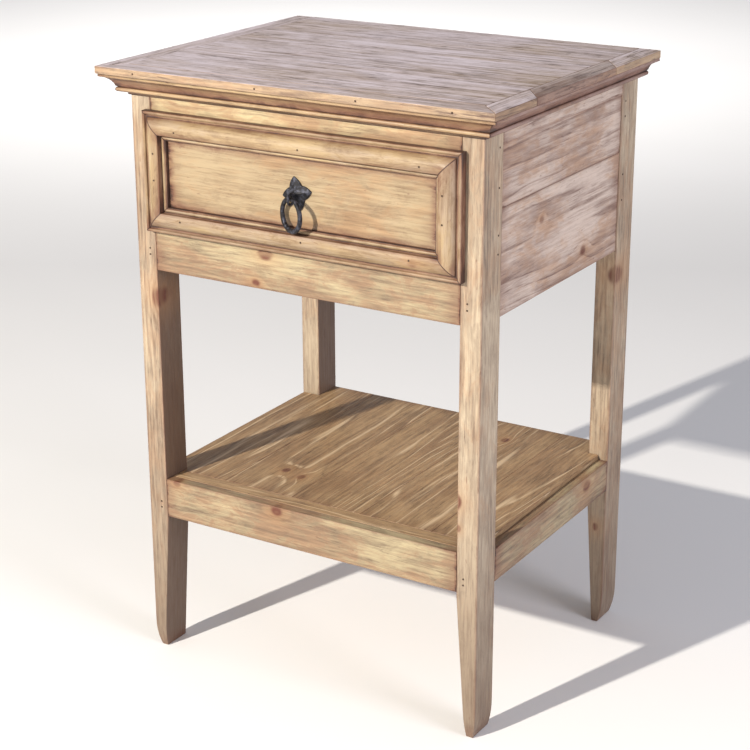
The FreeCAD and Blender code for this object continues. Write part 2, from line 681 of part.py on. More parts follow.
def drawer_nails():
    """Make the nail heads along the crest of the drawer's mouldings."""
    crest_y = f"({OVERLAY_Y} - frame_crest_top)"
    crest_z = f"({PANEL_Z} + frame_crest)"
    crest_x = f"({PANEL_X} + frame_crest)"
    places = [(str(x), f"front_centre + {crest_z}") for x in (-157.0, 9.0, 160.0)]
    places += [(str(x), f"front_centre - {crest_z}") for x in (-153.0, 11.0, 148.0)]
    places += [(f"{sign} * {crest_x}", f"front_centre + {z}") for sign in (-1, 1) for z in (-7.0, 24.0)]
    nails("drawer_nails", [((x, crest_y, z), (0, -1, 0)) for x, z in places])


def write_parts():
    """Check every object, then write each sub-part to its own file."""
    doc.recompute()
    for item in doc.Objects:
        bad = {"Invalid", "Error"} & set(item.State)
        if bad:
            raise ValueError(f"{item.Name} is {bad}")
    os.makedirs("parts", exist_ok=True)
    for item in parts:
        shape = item.Shape
        if shape.isNull() or not shape.isValid():
            raise ValueError(f"{item.Label} has no valid shape")
        shape.exportStep(f"parts/{item.Label}.step")
        print(f"{item.Label}: {shape.Volume / 1000:.2f} cm3, {len(shape.Solids)} solids")
    print(f"{len(parts)} sub-parts")


legs()
table_top()
edge_strips()
crown()
case()
drawer_supports()
shelf()
drawer_box()
drawer_front()
pull()
case_nails()
drawer_nails()
write_parts()
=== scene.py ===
"""A side table with one drawer and a low shelf, in waxed and washed pine, with an iron ring pull."""

import json
import math
import random

import bmesh
import bpy
import numpy as np
from mathutils import Euler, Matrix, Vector, noise

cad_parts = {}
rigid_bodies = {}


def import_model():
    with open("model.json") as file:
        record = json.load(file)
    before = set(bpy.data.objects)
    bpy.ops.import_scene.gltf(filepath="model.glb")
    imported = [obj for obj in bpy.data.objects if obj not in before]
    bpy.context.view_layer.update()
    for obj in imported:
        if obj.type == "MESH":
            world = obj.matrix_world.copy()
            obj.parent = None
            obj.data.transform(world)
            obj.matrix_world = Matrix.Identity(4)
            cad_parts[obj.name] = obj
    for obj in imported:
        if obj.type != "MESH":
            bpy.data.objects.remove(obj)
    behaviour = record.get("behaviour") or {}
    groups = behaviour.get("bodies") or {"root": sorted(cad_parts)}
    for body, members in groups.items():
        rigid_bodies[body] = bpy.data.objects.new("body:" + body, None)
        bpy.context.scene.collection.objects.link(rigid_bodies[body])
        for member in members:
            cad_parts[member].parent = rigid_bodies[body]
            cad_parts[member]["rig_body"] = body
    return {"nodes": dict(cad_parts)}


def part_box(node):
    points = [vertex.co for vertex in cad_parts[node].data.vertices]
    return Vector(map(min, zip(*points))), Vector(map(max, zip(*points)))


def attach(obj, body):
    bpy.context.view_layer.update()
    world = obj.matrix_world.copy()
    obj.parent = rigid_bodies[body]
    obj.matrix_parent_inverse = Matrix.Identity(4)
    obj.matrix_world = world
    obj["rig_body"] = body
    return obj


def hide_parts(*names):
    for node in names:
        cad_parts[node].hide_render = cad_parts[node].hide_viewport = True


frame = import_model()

MM = 0.001
UP = Vector((0, 0, 1))
QUARTER = math.pi / 2
AXES = {"x": 0, "y": 1, "z": 2}
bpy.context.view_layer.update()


def shade(red, green, blue):
    """A colour given as display values from 0 to 255, as the linear values that shaders use.

    The numbers here are those of the sRGB curve.
    """
    linear = []
    for value in (red, green, blue):
        part = value / 255
        linear.append(part / 12.92 if part <= 0.04045 else ((part + 0.055) / 1.055) ** 2.4)
    return (*linear, 1.0)


# ---------------------------------------------------------------- node trees


class Nodes:
    """A material's node tree, with one short call for each kind of node."""

    def __init__(self, name):
        self.material = bpy.data.materials.new(name)
        self.material.use_nodes = True
        self.tree = self.material.node_tree
        self.tree.nodes.clear()

    def feed(self, socket, value):
        """Link a socket to another one, or give it a plain value."""
        if isinstance(value, bpy.types.NodeSocket):
            self.tree.links.new(value, socket)
        else:
            socket.default_value = value

    def add(self, kind, inputs=None, **settings):
        """Add a node with its settings and its inputs."""
        node = self.tree.nodes.new(kind)
        for key, value in settings.items():
            setattr(node, key, value)
        for key, value in (inputs or {}).items():
            self.feed(node.inputs[key], value)
        return node

    def math(self, operation, *values, clamp=False):
        """Add a maths node."""
        node = self.add("ShaderNodeMath", operation=operation, use_clamp=clamp)
        for socket, value in zip(node.inputs, values):
            self.feed(socket, value)
        return node.outputs[0]

    def product(self, first, *others):
        """Multiply values together."""
        result = first
        for value in others:
            result = self.math("MULTIPLY", result, value)
        return result

    def attribute(self, name):
        """Read a vector that the mesh keeps at each point."""
        return self.add("ShaderNodeAttribute", attribute_name=name).outputs["Vector"]

    def coordinate(self, kind):
        """The surface's own place or direction: Object or Normal."""
        return self.add("ShaderNodeTexCoord").outputs[kind]

    def split(self, vector):
        """The three parts of a vector."""
        return tuple(self.add("ShaderNodeSeparateXYZ", {"Vector": vector}).outputs)

    def noise(self, place, waves, detail=2.0, rough=0.5, bend=0.0):
        """Smooth noise from 0 to 1, with its own number of waves to the metre along each axis."""
        scaled = self.add("ShaderNodeVectorMath", {0: place, 1: waves}, operation="MULTIPLY").outputs[0]
        inputs = {"Vector": scaled, "Scale": 1.0, "Detail": detail, "Roughness": rough, "Distortion": bend}
        return self.add("ShaderNodeTexNoise", inputs).outputs[0]

    def sway(self, level, amount):
        """Turn noise from 0 to 1 into a shift to either side, amount wide in all."""
        return self.math("MULTIPLY_ADD", level, amount, -amount / 2)

    def span(self, value, low, high):
        """Rise smoothly from 0 to 1 as a value goes from low to high."""
        inputs = {"Value": value, "From Min": low, "From Max": high}
        return self.add("ShaderNodeMapRange", inputs, interpolation_type="SMOOTHSTEP").outputs[0]

    def fall(self, value, low, high):
        """Fall smoothly from 1 to 0 as a value goes from low to high."""
        return self.math("SUBTRACT", 1.0, self.span(value, low, high))

    def hump(self, value, start, peak, end):
        """Rise smoothly from 0 at start to 1 at peak, and fall back to 0 at end."""
        return self.math("MULTIPLY", self.span(value, start, peak), self.fall(value, peak, end))

    def band(self, value, stops):
        """A grey level read off a list of (value, level) pairs."""
        start, end = stops[0][0], stops[-1][0]
        share = self.math("DIVIDE", self.math("SUBTRACT", value, start), end - start, clamp=True)
        node = self.add("ShaderNodeValToRGB", {"Fac": share})
        ramp = node.color_ramp
        while len(ramp.elements) < len(stops):
            ramp.elements.new(0.5)
        for element, (position, level) in zip(ramp.elements, stops):
            element.position = (position - start) / (end - start)
            element.color = (level, level, level, 1.0)
        return node.outputs[0]

    def mix(self, amount, first, second):
        """Blend two colours. Sockets 6 and 7 and output 2 are the Mix node's colour ones."""
        inputs = {0: amount, 6: first, 7: second}
        return self.add("ShaderNodeMix", inputs, data_type="RGBA", clamp_factor=True).outputs[2]

    def finish(self, colour, roughness, height, depth, **plain):
        """Join a shader with bump to the output. plain are values set on the shader's own sockets."""
        bump = self.add("ShaderNodeBump", {"Strength": 1.0, "Distance": depth, "Height": height})
        inputs = {"Base Color": colour, "Roughness": roughness, "Normal": bump.outputs[0]}
        shader = self.add("ShaderNodeBsdfPrincipled", inputs)
        for name, value in plain.items():
            shader.inputs[name.replace("_", " ")].default_value = value
        output = self.add("ShaderNodeOutputMaterial")
        self.tree.links.new(shader.outputs[0], output.inputs["Surface"])
        return self.material


# ---------------------------------------------------------------- wood


# The directions of a board, in the order that its places and distances are kept in.
BOARD_AXES = ("along", "across", "through")

# Each pattern's waves to the metre along, across and through the board, its detail, roughness and bend,
# and the two noise levels that count as none of it and all of it.
PATTERNS = {
    "fibre": ((24, 350, 350), 4.0, 0.7, 0.0, (0.32, 0.68)),
    "streak": ((4, 150, 150), 5.0, 0.65, 0.0, (0.3, 0.7)),
    "mottle": ((24, 55, 55), 6.0, 0.72, 0.6, (0.3, 0.7)),
    "cloud": ((6, 14, 14), 4.0, 0.6, 0.3, (0.28, 0.72)),
    "speck": ((90, 330, 330), 2.0, 0.5, 0.0, (0.69, 0.76)),
    "dash": ((34, 480, 480), 3.0, 0.6, 0.0, (0.58, 0.64)),
}
HAIR = ((4, 75, 75), 3.0, 0.6, 0.3)
HAIR_WIDTH = 0.02
HAIR_BREAKS = (0.25, 0.75)

# The waves that bend the growth rings, and how far they do.
SLOW_WAVES = (2.2, 11, 11)
SLOW_SWAY = 90 * MM
FINE_WAVES = (9, 60, 60)
FINE_SWAY = 7 * MM
DRIFT_WAVES = (1.3, 26, 26)
DRIFT = 30 * MM

# Where a layer starts, is strongest and ends, as shares of the way from one ring to the next.
LATE_WOOD = (0.15, 0.8, 1.0)
CONTOUR = (0.8, 0.95, 1.0)
PALE_RIDGE = (0.70, 0.86, 1.0)

# A knot's lengths are in its own radii. KNOT_SQUASH makes it long along the board and longer through it.
KNOT_SQUASH = (0.55, 1.0, 0.12)
KNOT_SWELL = 1.5
KNOT_FADE = 0.16
KNOT_RAGGED = 0.9
KNOT_RIM = (1.0, 1.8)
KNOT_HEART = shade(92, 46, 28)
KNOT_HALO = shade(160, 116, 74)
KNOT_HALO_AMOUNT = 0.4
KNOT_RINGS = (0.45, 0.55)

# The levels between which a pattern has its effect in another layer.
FIGURE_CLOUDS = (0.0, 0.8)
BLOTCHES = (0.45, 1.0)
CONTOUR_BREAKS = (0.1, 0.6)
RIDGE_BREAKS = (0.2, 0.7)
BLUSH_LEVELS = (-0.3, 0.6)
# The facings that take the painted shade on inner sides, and the wash with its painted skylight.
FACING_ACROSS = (0.5, 0.9)
FACING_UP = (0.45, 0.95)
BASE_TINT = 0.22
SPECK_AMOUNT = 0.45
# How dark the painted shade on the inner sides is.
SHADED_AMOUNT = 0.85
# How high up the painted shade near the floor reaches.
FOOT_SHADE_HEIGHT = 420 * MM

# How each pattern, measured from its middle level, thickens the wash, and then what breaks it.
WASH_PATTERNS = {"cloud": 0.45, "streak": -0.6, "fibre": -0.35, "mottle": -0.25}
WASH_BREAKS = {"late": -0.12, "dash": -0.3, "hair": -0.4}
WASH_WORN = (20 * MM, 240 * MM)
WASH_WORN_AMOUNT = -0.12

# The dark glaze: its lines along seams and mitres, its reach from an end, and how the mottle breaks it up.
SEAM = (0.3 * MM, 1.3 * MM)
MITRE_LINE = (0.4 * MM, 1.4 * MM)
MITRE_AMOUNT = 0.95
END_GRIME = 24 * MM
GLAZE_BREAKS = (0.8, 0.25)
GROOVE_BREAKS = (0.45, 0.75)
GLAZE_STRENGTH = 1.25
DEEP_GLAZE = (0.6, 1.0)
DEEP_AMOUNT = 0.85

# The surface: how late wood and fibres change its roughness, and how high each pattern stands.
LATE_GLOSS = -0.08
FIBRE_ROUGHNESS = 0.14
COAT_ROUGHNESS = 0.35
RELIEF = {"late": 0.3, "fibre": 0.4, "dash": -0.5, "speck": -1.2}
RELIEF_DEPTH = 0.16 * MM


class Finish:
    """How one kind of wood is cut, stained and worn.

    ring is the distance between growth rings. figure, fibre, streak, mottle, cloud, dash, hair and contour
    say how much each pattern darkens the wood, edge and end how much glaze lies along its edges and ends,
    and foot how much painted shade darkens it near the floor. shaded is 1 or -1 where the sides that face
    that way along X get painted shade. line is the colour of a pale line at each ring, and wash that of a
    pale wash on the faces that look up, whose lavender there is partly painted skylight. bands is a
    direction across a moulding, and how dark the glaze is along it.
    """

    def __init__(self, slot, light, dark, **changes):
        self.slot = slot
        self.light = light
        self.dark = dark
        self.blush = shade(166, 132, 102)
        self.blush_amount = 0.6
        self.stain = shade(104, 65, 46)
        self.deep = shade(46, 29, 22)
        self.ring = 6 * MM
        self.figure = 0.2
        self.fibre = 0.3
        self.streak = 0.3
        self.mottle = 0.25
        self.cloud = 0.3
        self.dash = 0.2
        self.hair = 0.25
        self.contour = 0.0
        self.line = None
        self.line_amount = 0.0
        self.edge = 0.45
        self.edge_reach = 4 * MM
        self.end = 0.4
        self.foot = 0.0
        self.shaded = 0.0
        self.wash = None
        self.wash_amount = 0.0
        self.bands = None
        self.roughness = 0.5
        self.coat = 0.0
        for name, value in changes.items():
            setattr(self, name, value)


def from_pith(n, place, parts, fine):
    """A point's distance from the middle of the tree, bent by slow and quick waves."""
    across, through = parts[1:]
    side = n.math("ADD", across, n.sway(n.noise(place, SLOW_WAVES), SLOW_SWAY))
    side = n.math("ADD", side, n.sway(fine, FINE_SWAY))
    reach = n.math("SQRT", n.math("ADD", n.math("POWER", side, 2.0), n.math("POWER", through, 2.0)))
    return n.math("MULTIPLY_ADD", n.noise(place, DRIFT_WAVES, detail=1.0), DRIFT, reach)


def from_knot(n, parts, centre, radius):
    """A point's distance from the middle of a knot, in the knot's radii."""
    square = 0.0
    for position, middle, squash in zip(parts, centre, KNOT_SQUASH):
        gap = n.math("SUBTRACT", position, middle)
        square = n.math("MULTIPLY_ADD", gap, n.math("MULTIPLY", gap, squash), square)
    return n.math("DIVIDE", n.math("SQRT", square), radius)


class Grain:
    """The noises, the growth rings and the knots that all the layers of one wood share."""

    def __init__(self, n, finish, knots):
        place = n.attribute("grain")
        parts = n.split(place)
        fine = n.noise(place, FINE_WAVES)
        reach = from_pith(n, place, parts, fine)
        self.knot = 0.0
        self.halo = 0.0
        for *centre, radius in knots:
            gap = from_knot(n, parts, centre, radius)
            swell = n.math("EXPONENT", n.product(gap, gap, -KNOT_FADE))
            inside = n.fall(n.math("MULTIPLY_ADD", fine, KNOT_RAGGED, gap), *KNOT_RIM)
            reach = n.math("MULTIPLY_ADD", swell, radius * KNOT_SWELL, reach)
            self.halo = n.math("MAXIMUM", self.halo, swell)
            self.knot = n.math("MAXIMUM", self.knot, inside)
        self.phase = n.math("FRACT", n.math("DIVIDE", reach, finish.ring))
        self.late = n.hump(self.phase, *LATE_WOOD)
        self.contour = n.hump(self.phase, *CONTOUR)
        for name, (waves, detail, rough, bend, levels) in PATTERNS.items():
            setattr(self, name, n.span(n.noise(place, waves, detail, rough, bend), *levels))
        wander = n.math("ABSOLUTE", n.math("SUBTRACT", n.noise(place, *HAIR), 0.5))
        self.hair = n.math("MULTIPLY", n.fall(wander, 0.0, HAIR_WIDTH), n.span(self.mottle, *HAIR_BREAKS))


def grain_tint(n, finish, grain):
    """How much the grain darkens the wood, from 0 to 1."""
    tint = n.product(grain.late, n.span(grain.cloud, *FIGURE_CLOUDS), finish.figure)
    for name in ("fibre", "streak", "cloud"):
        level = n.math("SUBTRACT", getattr(grain, name), 0.5)
        tint = n.math("MULTIPLY_ADD", level, getattr(finish, name), tint)
    marks = {
        "mottle": n.span(grain.mottle, *BLOTCHES),
        "dash": grain.dash,
        "hair": grain.hair,
        "contour": n.math("MULTIPLY", grain.contour, n.span(grain.streak, *CONTOUR_BREAKS)),
    }
    for name, level in marks.items():
        tint = n.math("MULTIPLY_ADD", level, getattr(finish, name), tint)
    return n.math("ADD", tint, BASE_TINT, clamp=True)


def stained_wood(n, finish, grain):
    """The stained wood's colour under wash and glaze, with painted shade on one side along X and near the
    floor.
    """
    patches = n.span(n.math("SUBTRACT", grain.cloud, grain.mottle), *BLUSH_LEVELS)
    colour = n.mix(n.math("MULTIPLY", patches, finish.blush_amount), finish.light, finish.blush)
    colour = n.mix(grain_tint(n, finish, grain), colour, finish.dark)
    if finish.line:
        ridge = n.math("MULTIPLY", n.hump(grain.phase, *PALE_RIDGE), n.span(grain.streak, *RIDGE_BREAKS))
        colour = n.mix(n.math("MULTIPLY", ridge, finish.line_amount), colour, finish.line)
    # Painted shade on the sides that face across the table, towards the other legs.
    if finish.shaded:
        facing = n.split(n.coordinate("Normal"))[0]
        inner = n.span(n.math("MULTIPLY", facing, finish.shaded), *FACING_ACROSS)
        colour = n.mix(n.math("MULTIPLY", inner, SHADED_AMOUNT), colour, finish.dark)
    # Painted shade: darker towards the floor, where less light reaches the wood.
    if finish.foot:
        height = n.split(n.coordinate("Object"))[2]
        low = n.math("MULTIPLY", n.fall(height, 0.0, FOOT_SHADE_HEIGHT), finish.foot)
        colour = n.mix(low, colour, finish.dark)
    return n.mix(n.math("MULTIPLY", grain.speck, SPECK_AMOUNT), colour, finish.stain)


def washed(n, finish, grain, colour):
    """A thin pale wash on the faces that look up, worn thinner towards the right, and partly painted
    skylight.
    """
    cover = finish.wash_amount
    for name, amount in WASH_PATTERNS.items():
        level = n.math("SUBTRACT", getattr(grain, name), 0.5)
        cover = n.math("MULTIPLY_ADD", level, amount, cover)
    for name, amount in WASH_BREAKS.items():
        cover = n.math("MULTIPLY_ADD", getattr(grain, name), amount, cover)
    worn = n.span(n.split(n.coordinate("Object"))[0], *WASH_WORN)
    cover = n.math("MULTIPLY_ADD", worn, WASH_WORN_AMOUNT, cover)
    # Only faces that look up take the wash, so its lavender there is partly painted skylight.
    upward = n.span(n.split(n.coordinate("Normal"))[2], *FACING_UP)
    return n.mix(n.math("MULTIPLY", cover, upward, clamp=True), colour, finish.wash)


def face_gaps(n):
    """Distances from the nearest edge and the nearest end, and the distances from three of the faces.

    A point on a face is no distance from it, so its nearest edge is the middle one of the three gaps.
    """
    near = n.split(n.attribute("near"))
    far = n.split(n.attribute("far"))
    gaps = [n.math("MINIMUM", low, high) for low, high in zip(near, far)]
    smaller = n.math("MINIMUM", gaps[0], gaps[1])
    larger = n.math("MAXIMUM", gaps[0], gaps[1])
    edge = n.math("MAXIMUM", smaller, n.math("MINIMUM", larger, gaps[2]))
    return edge, gaps[0], near


def glazed(n, finish, grain, colour):
    """Dark glaze that stays in the joints, along the edges and in the grooves of a moulding."""
    edge, end, near = face_gaps(n)
    broken = n.math("MULTIPLY_ADD", grain.mottle, *GLAZE_BREAKS)
    grime = n.product(n.fall(end, 0.0, END_GRIME), broken, finish.end)
    if finish.bands:
        direction, stops = finish.bands
        patchy = n.math("MULTIPLY_ADD", grain.mottle, *GROOVE_BREAKS)
        spread = n.math("MULTIPLY", n.band(near[BOARD_AXES.index(direction)], stops), patchy)
        line = n.math("MULTIPLY", n.fall(end, *MITRE_LINE), MITRE_AMOUNT)
    else:
        spread = n.product(n.fall(edge, 0.0, finish.edge_reach), broken, finish.edge)
        line = n.math("MULTIPLY", n.fall(edge, *SEAM), finish.edge)
    glaze = n.math("MAXIMUM", n.math("ADD", spread, grime), line)
    colour = n.mix(n.math("MULTIPLY", glaze, GLAZE_STRENGTH, clamp=True), colour, finish.stain)
    return n.mix(n.math("MULTIPLY", n.span(glaze, *DEEP_GLAZE), DEEP_AMOUNT), colour, finish.deep)


def wood(name, finish, knots=()):
    """Pine: growth rings, fibres, knots, blotchy stain, a pale wash and dark glaze."""
    n = Nodes(name)
    grain = Grain(n, finish, knots)
    colour = stained_wood(n, finish, grain)
    if knots:
        colour = n.mix(n.math("MULTIPLY", grain.halo, KNOT_HALO_AMOUNT), colour, KNOT_HALO)
        heart = n.math("MULTIPLY", grain.knot, n.math("MULTIPLY_ADD", grain.late, *KNOT_RINGS))
        colour = n.mix(heart, colour, KNOT_HEART)
    if finish.wash:
        colour = washed(n, finish, grain, colour)
    colour = glazed(n, finish, grain, colour)
    rough = n.math("MULTIPLY_ADD", grain.late, LATE_GLOSS, finish.roughness)
    rough = n.math("MULTIPLY_ADD", n.math("SUBTRACT", grain.fibre, 0.5), FIBRE_ROUGHNESS, rough)
    height = 0.0
    for pattern, amount in RELIEF.items():
        height = n.math("MULTIPLY_ADD", getattr(grain, pattern), amount, height)
    coat = {"Coat_Weight": finish.coat, "Coat_Roughness": COAT_ROUGHNESS}
    return n.finish(colour, rough, height, RELIEF_DEPTH, **coat)


# ---------------------------------------------------------------- finishes


# How dark the glaze lies across a moulding's section, by the distance from its inner or lower side.
CROWN_BANDS = [
    (0, 0.95),
    (1.2 * MM, 0.35),
    (3.2 * MM, 0.40),
    (4.3 * MM, 1.0),
    (5.6 * MM, 0.15),
    (8.2 * MM, 0.10),
    (9.4 * MM, 1.0),
    (11.0 * MM, 0.78),
    (17 * MM, 0.45),
    (21.0 * MM, 0.62),
    (22.3 * MM, 0.10),
    (24.6 * MM, 0.10),
    (25.6 * MM, 0.98),
]
MOULDING_BANDS = [
    (0, 0.95),
    (1.2 * MM, 0.45),
    (2.4 * MM, 0.0),
    (4.4 * MM, 0.10),
    (5.4 * MM, 1.0),
    (6.5 * MM, 0.50),
    (8.5 * MM, 0.24),
    (14 * MM, 0.12),
    (20 * MM, 0.10),
    (23.8 * MM, 0.26),
    (24.9 * MM, 0.95),
    (26.2 * MM, 0.50),
    (28.6 * MM, 0.22),
    (30.4 * MM, 0.35),
    (31.5 * MM, 0.85),
]

# What the legs have in common, and then what the rails do.
LEG = {
    "foot": 0.66,
    "edge": 0.4,
    "fibre": 0.44,
    "streak": 0.2,
    "mottle": 0.17,
    "dash": 0.14,
    "hair": 0.1,
    "roughness": 0.55,
}
RAIL = {
    "blush_amount": 0.9,
    "end": 0.6,
    "fibre": 0.44,
    "streak": 0.22,
    "mottle": 0.25,
    "dash": 0.14,
    "hair": 0.16,
    "roughness": 0.55,
}
FINISHES = {
    # The legs get painted shade near the floor, and on their inner sides, the ones that face across the
    # table.
    "leg_left": Finish("waxed_pine", shade(178, 161, 137), shade(86, 64, 50), shaded=1.0, **LEG),
    "leg_right": Finish("waxed_pine", shade(178, 161, 137), shade(86, 64, 50), shaded=-1.0, **LEG),
    "rail": Finish(
        "waxed_pine",
        shade(168, 153, 120),
        shade(92, 72, 56),
        blush=shade(148, 116, 88),
        **RAIL,
    ),
    # A lighter copy of the rail's finish: painted light on the frieze, against the crown's shade that falls
    # on it.
    "frieze": Finish(
        "waxed_pine",
        shade(186, 168, 130),
        shade(108, 84, 62),
        blush=shade(166, 132, 98),
        **RAIL,
    ),
    "panel": Finish(
        "waxed_pine",
        shade(157, 138, 107),
        shade(104, 78, 52),
        blush=shade(160, 122, 84),
        fibre=0.36,
        mottle=0.18,
        edge=0.8,
        edge_reach=11 * MM,
        coat=0.12,
    ),
    "side": Finish(
        "waxed_pine",
        shade(191, 173, 159),
        shade(112, 86, 74),
        blush=shade(178, 144, 116),
        blush_amount=0.85,
        fibre=0.34,
        ring=13 * MM,
        figure=0.3,
        contour=0.5,
        mottle=0.1,
        streak=0.14,
        dash=0.15,
        hair=0.28,
    ),
    "crown": Finish(
        "waxed_pine",
        shade(170, 147, 110),
        shade(100, 76, 50),
        cloud=0.4,
        bands=("through", CROWN_BANDS),
    ),
    # A darker, pinker copy of the crown's finish for its side runs: painted shade on the crown's sides.
    "crown_side_painted_shade": Finish(
        "waxed_pine",
        shade(152, 128, 118),
        shade(84, 62, 54),
        bands=("through", CROWN_BANDS),
    ),
    "moulding": Finish(
        "waxed_pine",
        shade(166, 144, 107),
        shade(100, 76, 54),
        blush=shade(170, 152, 128),
        blush_amount=0.85,
        cloud=0.4,
        bands=("across", MOULDING_BANDS),
        roughness=0.58,
    ),
    # The tops' lavender washes are partly painted skylight, as they lie only on faces that look up.
    "top": Finish(
        "washed_pine",
        shade(167, 143, 115),
        shade(94, 72, 60),
        wash=shade(214, 202, 208),
        wash_amount=0.64,
        ring=5 * MM,
        edge=0.12,
        edge_reach=2 * MM,
        end=0.05,
        roughness=0.45,
        fibre=0.45,
        hair=0.65,
        contour=0.25,
    ),
    "top_brown": Finish(
        "washed_pine",
        shade(138, 112, 98),
        shade(78, 56, 46),
        wash=shade(190, 176, 172),
        wash_amount=0.55,
        ring=5 * MM,
        edge=0.2,
        roughness=0.42,
        hair=0.5,
    ),
    "shelf": Finish(
        "shelf_pine",
        shade(172, 142, 105),
        shade(84, 62, 42),
        blush=shade(154, 120, 86),
        ring=8 * MM,
        figure=0.15,
        cloud=0.2,
        mottle=0.2,
        fibre=0.42,
        hair=0.15,
        line=shade(212, 186, 150),
        line_amount=0.8,
        edge=0.2,
        end=0.25,
    ),
    "raw": Finish("raw_pine", shade(196, 170, 130), shade(140, 108, 74), edge=0.2, roughness=0.65),
}


# ---------------------------------------------------------------- wooden meshes


WELD = 0.001 * MM
FLAT = math.radians(0.4)
SHARP = math.radians(20)
EDGE_STEPS = 3
SHADING_WEIGHT = 50

# The radius that each kind of piece has its edges eased to.
EDGES = {
    "leg": 1.3 * MM,
    "plank": 0.3 * MM,
    "strip": 1.0 * MM,
    "moulding": 0.35 * MM,
    "frieze": 0.7 * MM,
    "rail": 0.8 * MM,
    "side": 0.6 * MM,
    "runner": 0.6 * MM,
    "panel": 0.4 * MM,
    "drawer_box": 0.7 * MM,
    "shelf_rail": 0.9 * MM,
    "shelf_strip": 0.7 * MM,
    "shelf_board": 0.5 * MM,
}

# How finely a board is sliced along, across and through, so that its surface can be worn.
PITCH = (7 * MM, 12 * MM, 12 * MM)

# How deep the wear is, how many waves to the metre it has, and how much deeper it is at an edge.
WEAR = 0.12 * MM
FINE_WEAR = 0.06 * MM
PLANK_WEAR = 0.05 * MM
WEAR_SEEDS = (1, 90)
WEAR_SHIFT = (1.7, 3.1, 0.9)
SLOW_WEAR_WAVES = 14
QUICK_WEAR_WAVES = 55
EDGE_WEAR = 9.0
EDGE_BEND = 0.25
EDGE_WEAR_BASE = 0.3

# Where in the tree each board is cut from: the limits of its shifts along, across and through.
CUTS = ((-9, 9), (-0.05, 0.05), (0.03, 0.07))

# How far a foot's outer sides are drawn in, how high up that starts, and what counts as the sole.
FOOT_WEAR = 5 * MM
FOOT_WEAR_HEIGHT = 38 * MM
FOOT_WEAR_CURVE = 2.4
FOOT_RIM = 0.5 * MM

# Each board's knots: a place on its surface in metres, and a radius in millimetres.
KNOTS = {
    "leg_rear_right": [((0.2255, 0.1648, 0.468), 8), ((0.2148, 0.1648, 0.133), 4)],
    "leg_front_right": [((0.2008, -0.1773, 0.294), 6), ((0.203, -0.1773, 0.262), 3)],
    "leg_front_left": [((-0.2015, -0.1773, 0.464), 8)],
    "top_plank_2": [((-0.090, -0.023, 0.737), 6)],
    "top_edge_front": [((-0.015, -0.198, 0.737), 3), ((0.008, -0.198, 0.737), 2.5)],
    "drawer_rail": [((-0.048, -0.1773, 0.540), 7), ((-0.061, -0.1773, 0.504), 4)],
    "drawer_moulding_bottom": [((0.1515, -0.1777, 0.562), 6)],
    "side_board_lower_right": [((0.2266, -0.038, 0.585), 4.5), ((0.2266, 0.072, 0.523), 6)],
    "shelf_board_2": [((-0.0925, -0.078, 0.2322), 5), ((-0.065, -0.086, 0.2322), 5)],
    "shelf_board_4": [((0.092, 0.148, 0.2322), 5)],
    "shelf_rail_front": [((-0.040, -0.1773, 0.2265), 6), ((-0.186, -0.1773, 0.230), 4)],
    "shelf_rail_right": [((0.2281, 0.105, 0.214), 7)],
}

chance = random.Random(7)
shared_woods = {}


def flat_faced_copy(node):
    """A CAD node's mesh with its flat faces made whole again."""
    bm = bmesh.new()
    bm.from_mesh(frame["nodes"][node].data)
    bmesh.ops.remove_doubles(bm, verts=bm.verts, dist=WELD)
    bmesh.ops.dissolve_limit(bm, angle_limit=FLAT, verts=bm.verts, edges=bm.edges)
    return bm


def ease_edges(bm, radius):
    """Round the sharp edges, as sanding and wear do."""
    joining = [edge for edge in bm.edges if len(edge.link_faces) == 2]
    sharp = [edge for edge in joining if edge.calc_face_angle() > SHARP]
    bmesh.ops.bevel(
        bm,
        geom=sharp,
        offset=radius,
        offset_type="OFFSET",
        segments=EDGE_STEPS,
        profile=0.5,
        affect="EDGES",
        clamp_overlap=True,
    )


def slice_along(bm, axis, pitch):
    """Cut the mesh into even slices across one axis."""
    values = [vert.co[axis] for vert in bm.verts]
    low, high = min(values), max(values)
    count = round((high - low) / pitch)
    direction = Vector((0, 0, 0))
    direction[axis] = 1.0
    for step in range(1, count):
        point = direction * (low + (high - low) * step / count)
        everything = bm.verts[:] + bm.edges[:] + bm.faces[:]
        bmesh.ops.bisect_plane(bm, geom=everything, dist=WELD, plane_co=point, plane_no=direction)


def round_foot(bm):
    """Draw the outer sides of a leg's foot in, as wear on a floor does."""
    sole = [vert.co.copy() for vert in bm.verts if vert.co.z < FOOT_RIM]
    for axis in (0, 1):
        reaches = [point[axis] for point in sole]
        inner, outer = min(reaches, key=abs), max(reaches, key=abs)
        for vert in bm.verts:
            share = 1 - vert.co.z / FOOT_WEAR_HEIGHT
            if share > 0:
                outward = max((vert.co[axis] - inner) / (outer - inner), 0.0)
                vert.co[axis] -= math.copysign(FOOT_WEAR * share**FOOT_WEAR_CURVE * outward, outer)


def wear(bm, amount, seed):
    """Sink the surface a little in slow waves, and its edges more, and never outwards."""
    bm.normal_update()
    shift = Vector([seed * part for part in WEAR_SHIFT])
    moves = []
    for vert in bm.verts:
        bend = 1.0 - min(face.normal.dot(vert.normal) for face in vert.link_faces)
        slow = 0.5 + 0.5 * noise.noise(vert.co * SLOW_WEAR_WAVES + shift)
        quick = max(0.0, noise.noise(vert.co * QUICK_WEAR_WAVES + shift))
        edge = EDGE_WEAR * min(bend, EDGE_BEND) * (quick + EDGE_WEAR_BASE * slow)
        moves.append(-vert.normal * amount * (slow + edge))
    for vert, move in zip(bm.verts, moves):
        vert.co += move


def board_axes(node, letters):
    """The axes along, across and through a board, from their letters, or from the grain's letter alone."""
    given = [AXES[letter] for letter in letters]
    low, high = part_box(node)
    sizes = high - low
    rest = [axis for axis in range(3) if axis not in given]
    return given + sorted(rest, key=lambda axis: -sizes[axis])


